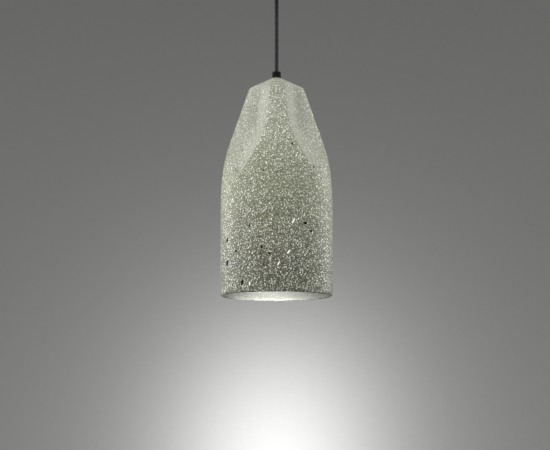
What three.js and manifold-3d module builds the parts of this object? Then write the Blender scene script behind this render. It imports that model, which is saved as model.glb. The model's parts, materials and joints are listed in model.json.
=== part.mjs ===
// A pendant ceiling light: a ceiling rose, a round cord, and a tall pinched terrazzo shade
// with a screw-in lampholder and a pear-shaped LED bulb inside it.
// Millimetres, +Z up. The origin is the middle of the bracket's top face, on the ceiling.
import * as THREE from "three";
import { mergeVertices } from "three/addons/utils/BufferGeometryUtils.js";
import Module from "manifold-3d";

const wasm = await Module();
wasm.setup();

// Driving dimensions
const GAP = 0.3;
const SHADE_DIAMETER = 140;
const SHADE_HEIGHT = 276;
const SHADE_WALL = 4.2;
const SHADE_HUB_THICKNESS = 6.5;
const CORD_DIAMETER = 5;
const CORD_FREE_LENGTH = 107.5;
const COLLAR_DIAMETER = 11;
const COLLAR_HEIGHT = 7.1;
const GASKET_THICKNESS = 0.8;
const TUBE_DIAMETER = 7.8;
const ROSE_DIAMETER = 100;
const ROSE_DEPTH = 26;
const SHEET = 1.2;
const BRACKET_THICKNESS = 2;
const BRACKET_LENGTH = 94;
const HOLDER_DIAMETER = 38;
const BULB_DIAMETER = 60;

// The shade's form: a cone with a small roof, blended into a cylinder, pinched four times
const LOBES = 4;
const TOP_FLAT_RADIUS = 5.6;
const ROOF_SLOPE = 2.1;
const ROOF_DEPTH = 11.4;
const SHOULDER_DEPTH = 15.4;
const FLANK_SLOPE = 0.346;
const FLANK_END_DEPTH = 85.3;
const FLANK_END_RADIUS = 59.3;
const BODY_START_DEPTH = 183;
const LIP_TUCK_DEPTH = 249;
const LIP_TUCK = 0.7;
const PINCH = 18;
const PINCH_START = 50;
const PINCH_FADE = [70, 134];
const PINCH_FADE_POWER = 1.1;
const CREASE_ANGLE = 14.2;
const CREASE_SPREAD = [45, 131];
const VALLEY_SOFTNESS = 16;

// Levels below the ceiling
const CORD_RADIUS = CORD_DIAMETER / 2;
const CORD_BORE = CORD_RADIUS + GAP;
const SWING_LEVEL = -ROSE_DEPTH - 9;
const COLLAR_TOP = SWING_LEVEL - CORD_FREE_LENGTH;
const SHADE_TOP = COLLAR_TOP - COLLAR_HEIGHT - GASKET_THICKNESS - 2 * GAP;
const SHADE_RADIUS = SHADE_DIAMETER / 2;
const TUBE_RADIUS = TUBE_DIAMETER / 2;
const TUBE_HOLE = TUBE_RADIUS + GAP;

// Materials
const finish = (color, roughness, metalness) =>
  new THREE.MeshStandardMaterial({ color, roughness, metalness });
const terrazzo = finish(0xa4a795, 0.42, 0);
const blackPlastic = finish(0x16171a, 0.45, 0);
const blackSteel = finish(0x1b1c1e, 0.5, 0.2);
const cordSheath = finish(0x1a1b1e, 0.6, 0);
const rubber = finish(0x202022, 0.85, 0);
const zincSteel = finish(0xb4b8bc, 0.35, 0.9);
const brass = finish(0xc9a24e, 0.3, 0.9);
const nickel = finish(0xcdccc8, 0.28, 0.9);
const whitePlastic = finish(0xeceae4, 0.5, 0);
const opalPlastic = finish(0xf6f2e8, 0.35, 0);
const circuitBoard = finish(0xe9ebe6, 0.5, 0);
const brownWire = finish(0x5f3a22, 0.6, 0);
const blueWire = finish(0x2a5fa8, 0.6, 0);
const earthWire = finish(0x8aa53a, 0.6, 0);

const degrees = THREE.MathUtils.degToRad;
const smoothstep = THREE.MathUtils.smoothstep;

// Merges a geometry's shared corners and drops the triangles that have no area.
function welded(geometry) {
  const bare = geometry.clone();
  bare.deleteAttribute("normal");
  bare.deleteAttribute("uv");
  const merged = mergeVertices(bare, 1e-3);
  const corners = merged.index.array;
  const kept = [];
  for (let i = 0; i < corners.length; i += 3) {
    const [a, b, c] = corners.slice(i, i + 3);
    if (a !== b && b !== c && c !== a) kept.push(a, b, c);
  }
  merged.setIndex(kept);
  return merged;
}

function toSolid(geometry) {
  const merged = welded(geometry);
  const mesh = new wasm.Mesh({
    numProp: 3,
    vertProperties: new Float32Array(merged.attributes.position.array),
    triVerts: new Uint32Array(merged.index.array),
  });
  return new wasm.Manifold(mesh);
}

function toGeometry(solid) {
  const mesh = solid.getMesh();
  const geometry = new THREE.BufferGeometry();
  geometry.setAttribute("position", new THREE.BufferAttribute(mesh.vertProperties, 3));
  geometry.setIndex(new THREE.BufferAttribute(mesh.triVerts, 1));
  return geometry;
}

function joined(first, ...others) {
  return toGeometry(others.reduce((sum, other) => sum.add(toSolid(other)), toSolid(first)));
}

function cut(first, ...tools) {
  return toGeometry(tools.reduce((rest, tool) => rest.subtract(toSolid(tool)), toSolid(first)));
}

// A body turned about Z from [radius, height] points: a ring closes on itself, and a profile
// that starts on the axis ends on it.
function turned(points, segments) {
  const onAxis = points[0][0] === 0;
  const loop = onAxis ? points : [...points, points[0]];
  let area = 0;
  loop.forEach(([r, z], i) => {
    const [nextR, nextZ] = loop[(i + 1) % loop.length];
    area += r * nextZ - nextR * z;
  });
  const outline = area > 0 ? loop : [...loop].reverse();
  const profile = outline.map(([r, z]) => new THREE.Vector2(r, z));
  return welded(new THREE.LatheGeometry(profile, segments)).rotateX(Math.PI / 2);
}

const ring = (inner, outer, low, high, segments) =>
  turned([[inner, low], [outer, low], [outer, high], [inner, high]], segments);

const rod = (radius, low, high, segments) =>
  turned([[0, low], [radius, low], [radius, high], [0, high]], segments);

// A rod along +X from one distance to another, at a height.
const crossRod = (radius, from, to, height, segments) =>
  rod(radius, from, to, segments).rotateY(Math.PI / 2).translate(0, 0, height);

function box(low, high) {
  const size = high.map((value, axis) => value - low[axis]);
  const centre = high.map((value, axis) => (value + low[axis]) / 2);
  return new THREE.BoxGeometry(...size).translate(...centre);
}

function hexNut(acrossFlats, hole, low, height) {
  const corner = acrossFlats / Math.sqrt(3);
  const outline = new THREE.Shape();
  for (let i = 0; i < 6; i++) {
    const angle = degrees(60 * i);
    const point = [corner * Math.cos(angle), corner * Math.sin(angle)];
    if (i === 0) outline.moveTo(...point);
    else outline.lineTo(...point);
  }
  outline.holes.push(new THREE.Path().absarc(0, 0, hole, 0, 2 * Math.PI, true));
  const options = { depth: height, bevelEnabled: false, curveSegments: 18 };
  return new THREE.ExtrudeGeometry(outline, options).translate(0, 0, low);
}

// A tube along a smooth route through the points.
function tubeAlong(points, radius, sides, steps) {
  const section = new THREE.Shape();
  for (let i = 0; i < sides; i++) {
    const angle = (2 * Math.PI * i) / sides;
    const point = [radius * Math.cos(angle), radius * Math.sin(angle)];
    if (i === 0) section.moveTo(...point);
    else section.lineTo(...point);
  }
  const route = new THREE.CatmullRomCurve3(points.map((point) => new THREE.Vector3(...point)));
  return new THREE.ExtrudeGeometry(section, { steps, bevelEnabled: false, extrudePath: route });
}

function piece(name, geometry, material) {
  const mesh = new THREE.Mesh(geometry, material);
  mesh.name = name;
  return mesh;
}

// Shade

// Radius of a lobe's middle at a depth below the shade's top.
function lobeRadius(depth) {
  if (depth <= ROOF_DEPTH) return TOP_FLAT_RADIUS + ROOF_SLOPE * depth;
  const flank = (at) => FLANK_END_RADIUS - FLANK_SLOPE * (FLANK_END_DEPTH - at);
  if (depth < SHOULDER_DEPTH) {
    const span = SHOULDER_DEPTH - ROOF_DEPTH;
    const t = (depth - ROOF_DEPTH) / span;
    const start = TOP_FLAT_RADIUS + ROOF_SLOPE * ROOF_DEPTH;
    return hermite(t, span, start, ROOF_SLOPE, flank(SHOULDER_DEPTH), FLANK_SLOPE);
  }
  if (depth < FLANK_END_DEPTH) return flank(depth);
  if (depth < BODY_START_DEPTH) {
    const span = BODY_START_DEPTH - FLANK_END_DEPTH;
    const t = (depth - FLANK_END_DEPTH) / span;
    return hermite(t, span, FLANK_END_RADIUS, FLANK_SLOPE, SHADE_RADIUS, 0);
  }
  return SHADE_RADIUS - LIP_TUCK * smoothstep(depth, LIP_TUCK_DEPTH, SHADE_HEIGHT) ** 2;
}

// A cubic between two values with the given slopes, over a span.
function hermite(t, span, from, fromSlope, to, toSlope) {
  const rise = t * t * (3 - 2 * t);
  const leave = t * (1 - t) * (1 - t) * span * fromSlope;
  const arrive = t * t * (1 - t) * span * toSlope;
  return from + (to - from) * rise + leave - arrive;
}

// How far in the valleys lie: deeper down from the top, then out again over the fade.
function pinchDepth(depth) {
  const [start, end] = PINCH_FADE;
  const faded = THREE.MathUtils.clamp((depth - start) / (end - start), 0, 1) ** PINCH_FADE_POWER;
  return PINCH * Math.tanh(depth / PINCH_START) * (1 - faded);
}

// Half the angle of a lobe's face, in degrees, from its middle to the crease.
function creaseAngle(depth) {
  const [start, end] = CREASE_SPREAD;
  const spread = THREE.MathUtils.clamp((depth - start) / (end - start), 0, 1) ** 2;
  return CREASE_ANGLE + (45 - CREASE_ANGLE) * spread + 20 * Math.exp(-depth / 4);
}

// Radius at an angle from the nearest lobe's middle, in degrees.
function shadeRadius(fromLobe, depth) {
  const crease = creaseAngle(depth);
  const pinch = pinchDepth(depth);
  const rounded = (angle) => Math.hypot(angle, VALLEY_SOFTNESS) - VALLEY_SOFTNESS;
  const climb = crease < 45 ? rounded(45 - Math.abs(fromLobe)) / rounded(45 - crease) : 1;
  return lobeRadius(depth) - pinch * (1 - Math.min(1, climb));
}

function shadePoint(angle, depth) {
  const turnedBy = 360 / LOBES;
  const fromLobe = angle - turnedBy * Math.round(angle / turnedBy);
  const radius = shadeRadius(fromLobe, depth);
  const around = degrees(angle);
  return new THREE.Vector3(radius * Math.cos(around), radius * Math.sin(around), -depth);
}

// The matching point of the inner face, a wall's thickness in along the normal.
function innerPoint(angle, depth) {
  const step = 0.5;
  const at = shadePoint(angle, depth);
  const around = shadePoint(angle + step, depth).sub(shadePoint(angle - step, depth));
  const down = shadePoint(angle, depth + step).sub(shadePoint(angle, Math.max(0, depth - step)));
  const inward = around.cross(down).normalize();
  const point = at.addScaledVector(inward, SHADE_WALL);
  point.z = Math.min(point.z, -SHADE_HUB_THICKNESS);
  return point;
}

// Angles of one level's corners: on the creases, across the faces and down the valleys.
function anglesAt(depth) {
  const crease = Math.min(creaseAngle(depth), 33.75);
  const valley = 45 - crease;
  const angles = [];
  for (let lobe = 0; lobe < LOBES; lobe++) {
    const middle = (360 / LOBES) * lobe;
    for (const share of [-1, -0.5, 0, 0.5]) angles.push(middle + share * crease);
    for (const share of [-1, -0.62, -0.28, 0, 0.28, 0.62])
      angles.push(middle + 45 + share * valley);
  }
  return angles;
}

function shade() {
  const outerDepths = [0, 3.5, 7.5, 11.4, 13.4, 15.4, 24, 36, 50, 64, 78, 88, 98, 108, 118, 127, 137];
  outerDepths.push(150, 165, 185, 215, 245, 262, SHADE_HEIGHT - 1.5);
  const innerDepths = [15, 24, 36, 50, 64, 78, 88, 98, 108, 118, 127, 137, 165, 185, 245];
  const circle = (radius, z) => (depth) =>
    anglesAt(depth).map((angle) => {
      const around = degrees(angle);
      return new THREE.Vector3(radius * Math.cos(around), radius * Math.sin(around), z);
    });
  const lipRadius = lobeRadius(SHADE_HEIGHT);
  const rows = [circle(TUBE_HOLE, 0)(0)];
  for (const depth of outerDepths) rows.push(anglesAt(depth).map((a) => shadePoint(a, depth)));
  rows.push(circle(lipRadius - 1.2, -SHADE_HEIGHT)(SHADE_HEIGHT));
  rows.push(circle(lipRadius - SHADE_WALL + 0.8, -SHADE_HEIGHT)(SHADE_HEIGHT));
  rows.push(circle(lipRadius - SHADE_WALL, -SHADE_HEIGHT + 1)(SHADE_HEIGHT));
  for (const depth of innerDepths.reverse())
    rows.push(anglesAt(depth).map((a) => innerPoint(a, depth)));
  rows.push(circle(TUBE_HOLE + 5.2, -SHADE_HUB_THICKNESS)(0));
  rows.push(circle(TUBE_HOLE, -SHADE_HUB_THICKNESS)(0));
  const across = rows[0].length;
  const positions = rows.flat().flatMap((point) => point.toArray());
  const corners = [];
  rows.forEach((row, i) => {
    const below = ((i + 1) % rows.length) * across;
    for (let j = 0; j < across; j++) {
      const next = (j + 1) % across;
      corners.push(i * across + j, below + j, i * across + next);
      corners.push(i * across + next, below + j, below + next);
    }
  });
  const geometry = new THREE.BufferGeometry();
  geometry.setAttribute("position", new THREE.Float32BufferAttribute(positions, 3));
  geometry.setIndex(corners);
  return piece("shade", geometry, terrazzo);
}

// Ceiling rose

const SIDE_SCREW_LEVEL = -9;
const SIDE_SCREW_RADIUS = 1.9;
const EARTH_SCREW_X = 22;
const SLOT_X = 32;
const BLOCK = { low: [-10, 1.5, -12.6], high: [10, 15.5, -BRACKET_THICKNESS - GAP] };
const BLOCK_SCREW_Y = 8.5;
const POLE_X = 6.5;

function mountingBracket() {
  const half = BRACKET_LENGTH / 2;
  const strap = box([-half, -11, -BRACKET_THICKNESS], [half, 11, 0]);
  const earDepth = -15;
  const ears = [-1, 1].map((side) => {
    const edges = [side * half, side * (half - BRACKET_THICKNESS)].sort((a, b) => a - b);
    return box([edges[0], -8, earDepth], [edges[1], 8, -BRACKET_THICKNESS / 2]);
  });
  const slots = [-SLOT_X, SLOT_X].flatMap((x) => [
    box([x - 4, -2.3, -3], [x + 4, 2.3, 1]),
    rod(2.3, -3, 1, 16).translate(x - 4, 0, 0),
    rod(2.3, -3, 1, 16).translate(x + 4, 0, 0),
  ]);
  const sideHole = crossRod(SIDE_SCREW_RADIUS + GAP, -60, 60, SIDE_SCREW_LEVEL, 16);
  const earthHole = rod(2, -3, 1, 12).translate(EARTH_SCREW_X, 0, 0);
  const blockHole = rod(1.7, -3, 1, 12).translate(0, BLOCK_SCREW_Y, 0);
  const plate = joined(strap, ...ears);
  return piece("mounting_bracket", cut(plate, ...slots, sideHole, earthHole, blockHole), zincSteel);
}

function canopyCup() {
  const outer = ROSE_DIAMETER / 2;
  const inner = outer - SHEET;
  const floor = -ROSE_DEPTH;
  const hole = 5 + GAP;
  const profile = [
    [hole, floor],
    [outer - 4, floor],
    [outer - 1.2, floor + 1.2],
    [outer, floor + 4],
    [outer, -0.4],
    [inner, -0.4],
    [inner, floor + 4.3],
    [inner - 0.9, floor + 2.1],
    [inner - 3.1, floor + SHEET],
    [hole, floor + SHEET],
  ];
  const sideHole = crossRod(SIDE_SCREW_RADIUS + GAP, -60, 60, SIDE_SCREW_LEVEL, 16);
  return piece("canopy_cup", cut(turned(profile, 36), sideHole), blackSteel);
}

function canopyScrew(name, side) {
  const outer = ROSE_DIAMETER / 2;
  const profile = [
    [0, 40],
    [SIDE_SCREW_RADIUS, 40],
    [SIDE_SCREW_RADIUS, outer + GAP],
    [3.6, outer + GAP],
    [3.6, outer + 1.6],
    [2.6, outer + 2.6],
    [0, outer + 2.6],
  ];
  const screw = turned(profile, 16).rotateY((side * Math.PI) / 2);
  return piece(name, screw.translate(0, 0, SIDE_SCREW_LEVEL), blackSteel);
}

const OUTLET_RADIUS = 8;
const OUTLET_BOTTOM = SWING_LEVEL - 4.3;
const OUTLET_CEILING = SWING_LEVEL + 4.6;
const OUTLET_NECK_TOP = -16.5;

function cordOutlet() {
  const flange = -ROSE_DEPTH - GAP;
  const profile = [
    [CORD_BORE, OUTLET_NECK_TOP],
    [5, OUTLET_NECK_TOP],
    [5, flange],
    [OUTLET_RADIUS, flange],
    [OUTLET_RADIUS, OUTLET_BOTTOM + 2.6],
    [OUTLET_RADIUS - 1, OUTLET_BOTTOM],
    [5.9, OUTLET_BOTTOM],
    [5.9, OUTLET_CEILING],
    [CORD_BORE, OUTLET_CEILING],
  ];
  const screwHole = crossRod(1.6, 0, 12, -28.3, 12).rotateZ(Math.PI / 2);
  return piece("cord_outlet", cut(turned(profile, 24), screwHole), blackPlastic);
}

function outletClampScrew() {
  const screw = crossRod(1.3, CORD_BORE + 0.2, OUTLET_RADIUS - 0.4, -28.3, 12);
  return piece("outlet_clamp_screw", screw.rotateZ(Math.PI / 2), zincSteel);
}

function outletNut() {
  const low = -ROSE_DEPTH + SHEET + GAP;
  return piece("outlet_nut", hexNut(14, 5 + GAP, low, 4), zincSteel);
}

function roseCordTail() {
  const tail = rod(CORD_RADIUS, OUTLET_CEILING + GAP, OUTLET_NECK_TOP + 1, 12);
  return piece("rose_cord_tail", tail, cordSheath);
}

function terminalBlock() {
  const { low, high } = BLOCK;
  const hole = rod(1.7, low[2] - 1, high[2] + 1, 12).translate(0, BLOCK_SCREW_Y, 0);
  const grooves = [-3.2, 3.2].map((x) =>
    box([x - 0.6, low[1] - 1, low[2] - 1], [x + 0.6, high[1] + 1, low[2] + 3]),
  );
  return piece("terminal_block", cut(box(low, high), hole, ...grooves), whitePlastic);
}

function panScrew(name, x, y, bearing, headRadius, shaftRadius, tip, material) {
  const profile = [
    [0, bearing - 1.7],
    [headRadius - 0.7, bearing - 1.7],
    [headRadius, bearing - 0.9],
    [headRadius, bearing],
    [shaftRadius, bearing],
    [shaftRadius, tip],
    [0, tip],
  ];
  return piece(name, turned(profile, 12).translate(x, y, 0), material);
}

function terminalScrews() {
  const under = BLOCK.low[2] - GAP;
  const places = [
    [-POLE_X, 5],
    [POLE_X, 5],
    [-POLE_X, 12],
    [POLE_X, 12],
  ];
  return places.map(([x, y], i) => {
    const screw = rod(1.8, under - 0.9, under, 12).translate(x, y, 0);
    return piece("terminal_screw_" + (i + 1), screw, brass);
  });
}

function roseWires() {
  const start = OUTLET_NECK_TOP + 1.3 + GAP;
  const toPole = (side) => [
    [side * 1.2, 0.8, start],
    [side * 1.5, 0.6, start + 2],
    [side * 4.6, -1, start + 5.6],
    [side * POLE_X, -0.6, -8],
    [side * POLE_X, BLOCK.low[1] - GAP, -8],
  ];
  const toEarth = [
    [0, -1.4, start],
    [0.1, -1.8, start + 2],
    [6, -6.4, start + 6],
    [15, -4.5, -4.6],
    [EARTH_SCREW_X - 3.4, -0.4, -3.7],
  ];
  return [
    piece("rose_live_wire", tubeAlong(toPole(-1), 0.9, 8, 7), brownWire),
    piece("rose_neutral_wire", tubeAlong(toPole(1), 0.9, 8, 7), blueWire),
    piece("rose_earth_wire", tubeAlong(toEarth, 0.9, 8, 9), earthWire),
  ];
}

function ceilingRose() {
  const group = new THREE.Group();
  const underStrap = -BRACKET_THICKNESS - GAP;
  group.add(mountingBracket(), canopyCup());
  group.add(canopyScrew("canopy_screw_right", 1), canopyScrew("canopy_screw_left", -1));
  group.add(cordOutlet(), outletClampScrew(), outletNut(), roseCordTail(), terminalBlock());
  group.add(
    panScrew("block_screw", 0, BLOCK_SCREW_Y, BLOCK.low[2] - GAP, 2.8, 1.4, -0.4, zincSteel),
  );
  group.add(panScrew("earth_screw", EARTH_SCREW_X, 0, underStrap, 3, 1.7, -0.4, brass));
  group.add(...terminalScrews(), ...roseWires());
  return group;
}

// Cord

// A rubber ring round the cord in the outlet's mouth: its bore flares both ways.
function exitBush() {
  const sphere = 5.5;
  const half = 2.4;
  const profile = [];
  for (let i = 0; i <= 4; i++) {
    const height = -half + (2 * half * i) / 4;
    profile.push([Math.sqrt(sphere * sphere - height * height), height]);
  }
  profile.push([CORD_BORE + 1, half], [CORD_BORE, 0], [CORD_BORE + 1, -half]);
  return piece("exit_bush", turned(profile, 16).translate(0, 0, SWING_LEVEL), rubber);
}

const CORD_IN_COLLAR = 2.6;

function cord() {
  const length = CORD_FREE_LENGTH + CORD_IN_COLLAR;
  const steps = 9;
  const route = [];
  for (let i = 0; i <= steps; i++) route.push([0, 0, SWING_LEVEL - (length * i) / steps]);
  return piece("cord", tubeAlong(route, CORD_RADIUS, 12, steps), cordSheath);
}

// Lamp grip, at heights above the shade's top

function gripCollar() {
  const low = GASKET_THICKNESS + 2 * GAP;
  const top = low + COLLAR_HEIGHT;
  const outer = COLLAR_DIAMETER / 2;
  const step = top - CORD_IN_COLLAR;
  const profile = [
    [TUBE_HOLE, low],
    [outer, low],
    [outer, top - 0.9],
    [outer - 0.7, top],
    [CORD_BORE, top],
    [CORD_BORE, step],
    [TUBE_HOLE, step],
  ];
  const screwHole = crossRod(0.9, 0, 8, top - 1.5, 12).rotateZ(Math.PI / 2);
  return piece("grip_collar", cut(turned(profile, 24), screwHole), blackPlastic);
}

function gripScrew() {
  const level = GASKET_THICKNESS + 2 * GAP + COLLAR_HEIGHT - 1.5;
  const screw = crossRod(0.6, CORD_BORE + 0.1, COLLAR_DIAMETER / 2 - 0.2, level, 12);
  return piece("grip_screw", screw.rotateZ(Math.PI / 2), zincSteel);
}

function lampGrip() {
  const group = new THREE.Group();
  const tubeTop = GASKET_THICKNESS + 2 * GAP + COLLAR_HEIGHT - CORD_IN_COLLAR - GAP;
  const hub = -SHADE_HUB_THICKNESS;
  group.add(gripCollar(), gripScrew());
  const topGasket = ring(TUBE_HOLE, 5.3, GAP, GAP + GASKET_THICKNESS, 24);
  group.add(piece("top_gasket", topGasket, rubber));
  group.add(piece("threaded_tube", ring(2.9, TUBE_RADIUS, -38, tubeTop, 20), zincSteel));
  group.add(piece("inner_cord", rod(CORD_RADIUS, -42, tubeTop - 0.1, 12), cordSheath));
  const innerGasket = ring(TUBE_HOLE, 7.5, hub - GAP - 1, hub - GAP, 20);
  group.add(piece("inner_gasket", innerGasket, rubber));
  group.add(piece("steel_washer", ring(TUBE_HOLE, 8, hub - 2.6, hub - 1.6, 20), zincSteel));
  group.add(piece("tube_nut", hexNut(13, TUBE_HOLE, hub - 6.9, 4), zincSteel));
  group.add(piece("holder_nut", hexNut(13, TUBE_HOLE, -33, 3), zincSteel));
  return group;
}

// Lampholder, at heights above the shade's top

const HOLDER_TOP = -33.3;
const HOLDER_SPLIT = -56;
const HOLDER_BOTTOM = -84;
const INSERT_TOP = -52;
const INSERT_BOTTOM = -58;

function holderCap() {
  const outer = HOLDER_DIAMETER / 2;
  const inner = outer - 1.4;
  const profile = [
    [TUBE_HOLE, HOLDER_TOP],
    [7.5, HOLDER_TOP],
    [8.2, HOLDER_TOP - 3],
    [13, HOLDER_TOP - 5.2],
    [17, HOLDER_TOP - 8.7],
    [outer, HOLDER_TOP - 14],
    [outer, HOLDER_SPLIT],
    [inner, HOLDER_SPLIT],
    [inner, HOLDER_TOP - 14],
    [15.8, HOLDER_TOP - 10],
    [12.4, HOLDER_TOP - 7],
    [TUBE_HOLE, HOLDER_TOP - 6],
  ];
  return piece("holder_cap", turned(profile, 24), blackPlastic);
}

function holderShell() {
  const outer = HOLDER_DIAMETER / 2;
  const profile = [
    [16.6, HOLDER_SPLIT - GAP],
    [outer, HOLDER_SPLIT - GAP],
    [outer, HOLDER_BOTTOM + 3],
    [outer - 1, HOLDER_BOTTOM],
    [15, HOLDER_BOTTOM],
    [15, HOLDER_BOTTOM + 2],
    [16.6, HOLDER_BOTTOM + 3],
  ];
  return piece("holder_shell", turned(profile, 24), blackPlastic);
}

function holderScrewShell() {
  const top = INSERT_BOTTOM - GAP;
  const profile = [
    [13.5, -80],
    [14.1, -80],
    [14.1, top],
    [10, top],
    [10, top - 0.6],
    [13.5, top - 0.6],
  ];
  return piece("holder_screw_shell", turned(profile, 24), brass);
}

const CONTACT_TOP = INSERT_BOTTOM - 1.3;
const CONTACT_TIP = CONTACT_TOP - 1.9;

function centreContact() {
  const leaf = box([-5.5, -2.5, CONTACT_TOP - 0.7], [5.5, 2.5, CONTACT_TOP]);
  const dimple = rod(2, CONTACT_TIP, CONTACT_TOP - 0.2, 12);
  return piece("centre_contact", joined(leaf, dimple), brass);
}

function holderWiring(side, label, wireMaterial) {
  const group = new THREE.Group();
  const x = side * 9;
  const top = INSERT_TOP + GAP + 5;
  const terminal = box([x - 2.5, -3.5, INSERT_TOP + GAP], [x + 2.5, 3.5, top]);
  group.add(piece(label + "_terminal", terminal, brass));
  const screw = rod(1.5, top + GAP, top + 1.3, 12).translate(x, 0, 0);
  group.add(piece(label + "_terminal_screw", screw, zincSteel));
  const route = [
    [side * 1.2, 0, -42 - GAP],
    [side * 1.3, 0, -44.4],
    [side * 3.2, 0, -48.4],
    [side * (9 - 2.5 - GAP), 0, -49.2],
  ];
  group.add(piece(label + "_wire", tubeAlong(route, 0.9, 8, 6), wireMaterial));
  return group;
}

function lampholder() {
  const group = new THREE.Group();
  group.add(holderCap(), holderShell(), holderScrewShell(), centreContact());
  const insert = ring(3, 16, INSERT_BOTTOM, INSERT_TOP, 24);
  group.add(piece("holder_insert", insert, whitePlastic));
  group.add(holderWiring(-1, "holder_live", brownWire));
  group.add(holderWiring(1, "holder_neutral", blueWire));
  return group;
}

// Bulb, at heights above the shade's top

const BULB_TIP = CONTACT_TIP - GAP;
const BULB_COLLAR_TOP = BULB_TIP - 27;
const BULB_COLLAR_BOTTOM = BULB_COLLAR_TOP - 33.7;

function bulbScrewShell() {
  const top = BULB_TIP - 5.8;
  const bottom = BULB_COLLAR_TOP + GAP;
  const profile = [[9.6, top], [12.2, top - 0.8]];
  const ridges = 4;
  const pitch = 3.62;
  for (let i = 0; i < ridges; i++) {
    const crest = top - 2.6 - pitch * i;
    profile.push([13.1, crest], [12.3, crest - pitch / 2]);
  }
  profile.push([12.9, bottom + 1], [12.9, bottom], [11.6, bottom], [11.6, top - 1.4]);
  profile.push([9.6, top - 0.6]);
  return piece("bulb_screw_shell", turned(profile, 20), nickel);
}

function bulbHousing() {
  const top = BULB_COLLAR_TOP;
  const bottom = BULB_COLLAR_BOTTOM;
  const wall = 1.5;
  const outer = [
    [13.4, top],
    [14.6, top - 3],
    [19.6, top - 13],
    [26.4, top - 25],
    [29.4, bottom],
  ];
  const inner = outer.map(([radius, z]) => [radius - wall, z]).reverse();
  return piece("bulb_housing", turned([...outer, ...inner], 24), whitePlastic);
}

function bulbGlobe() {
  const radius = BULB_DIAMETER / 2;
  const widest = BULB_COLLAR_BOTTOM - 9.8;
  const drop = 34;
  const wall = 1.2;
  const half = (r, depth, neck) => {
    const points = [];
    for (let i = 0; i <= 6; i++) {
      const angle = degrees(90 - (90 * i) / 6);
      points.push([i === 0 ? 0 : r * Math.cos(angle), widest - depth * Math.sin(angle)]);
    }
    points.push([neck, BULB_COLLAR_BOTTOM - GAP]);
    return points;
  };
  const outer = half(radius, drop, radius - 0.8);
  const inner = half(radius - wall, drop - wall, radius - 0.8 - wall).reverse();
  return piece("bulb_globe", turned([...outer, ...inner], 24), opalPlastic);
}

function bulb() {
  const group = new THREE.Group();
  const contact = [
    [0, BULB_TIP],
    [3, BULB_TIP - 0.2],
    [4.4, BULB_TIP - 1],
    [4.4, BULB_TIP - 1.6],
    [0, BULB_TIP - 1.6],
  ];
  group.add(piece("bulb_contact", turned(contact, 16), nickel));
  const insulator = [
    [0, BULB_TIP - 1.9],
    [4.8, BULB_TIP - 1.9],
    [9.4, BULB_TIP - 5.5],
    [0, BULB_TIP - 5.5],
  ];
  group.add(piece("bulb_insulator", turned(insulator, 16), blackPlastic));
  group.add(bulbScrewShell(), bulbHousing(), bulbGlobe());
  const driver = box([-9, -0.8, BULB_COLLAR_TOP - 26], [9, 0.8, BULB_COLLAR_TOP + 8]);
  group.add(piece("driver_board", driver, circuitBoard));
  const ledLow = BULB_COLLAR_BOTTOM + 1;
  group.add(piece("led_board", rod(25.5, ledLow, ledLow + 1.6, 24), circuitBoard));
  return group;
}

const pendant = new THREE.Group();
pendant.position.z = SHADE_TOP;
pendant.add(shade(), lampGrip(), lampholder(), bulb());

const light = new THREE.Group();
light.add(ceilingRose(), exitBush(), cord(), pendant);

export default light;
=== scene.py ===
import json
import math

import bmesh
import bpy
from mathutils import Matrix, Vector
from mathutils.noise import noise


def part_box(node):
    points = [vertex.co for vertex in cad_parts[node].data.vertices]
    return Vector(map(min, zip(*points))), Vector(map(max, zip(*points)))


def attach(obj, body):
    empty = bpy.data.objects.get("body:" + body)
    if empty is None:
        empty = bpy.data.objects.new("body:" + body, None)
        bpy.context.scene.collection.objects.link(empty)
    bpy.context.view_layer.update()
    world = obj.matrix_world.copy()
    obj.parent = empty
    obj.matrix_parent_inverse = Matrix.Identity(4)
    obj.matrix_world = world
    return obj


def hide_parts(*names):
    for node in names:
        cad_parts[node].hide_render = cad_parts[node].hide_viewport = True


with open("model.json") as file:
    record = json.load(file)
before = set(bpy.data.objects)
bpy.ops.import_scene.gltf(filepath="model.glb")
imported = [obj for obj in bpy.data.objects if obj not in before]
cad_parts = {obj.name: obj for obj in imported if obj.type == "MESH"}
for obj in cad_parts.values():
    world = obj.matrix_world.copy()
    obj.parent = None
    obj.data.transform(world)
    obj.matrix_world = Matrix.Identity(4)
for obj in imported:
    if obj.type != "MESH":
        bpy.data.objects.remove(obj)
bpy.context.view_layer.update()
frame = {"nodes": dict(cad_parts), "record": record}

MM = 0.001


# Places taken from the frame and the gap between pieces, in metres. The shade's radius is in
# millimetres

SHADE_LOW, SHADE_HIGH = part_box("shade")
SHADE_TOP = SHADE_HIGH.z
RIM = SHADE_LOW.z
SHADE_RADIUS = (SHADE_HIGH.x - SHADE_LOW.x) / 2 / MM
CORD_LOW, CORD_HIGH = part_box("cord")
SWING_LEVEL = CORD_HIGH.z
CORD_RADIUS = (CORD_HIGH.x - CORD_LOW.x) / 2
GAP = 0.3 * MM
CORD_BORE = CORD_RADIUS + GAP
CUP_LOW, CUP_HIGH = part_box("canopy_cup")
OUTLET_LOW, OUTLET_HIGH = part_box("cord_outlet")
COLLAR_LOW, COLLAR_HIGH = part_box("grip_collar")
SCREW_LOW, SCREW_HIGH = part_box("grip_screw")
BULB_LOW, BULB_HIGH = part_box("bulb_globe")

# Creases of the shade: half a lobe's angle at the top (degrees), and the depths over which it widens
CREASE_ANGLE = 14.2
CREASE_SPREAD = (45, 131)


# Camera: long lens, a little below the rim, looking up at the lamp

CAMERA_DISTANCE = 2.2
CAMERA_AZIMUTH = math.radians(-2)
RIM_ELEVATION = math.radians(5.1)
FOCAL_LENGTH = 116.2
SENSOR_WIDTH = 36
AIM_ABOVE_RIM = 0.0895
AIM_ACROSS = -0.0020


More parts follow.
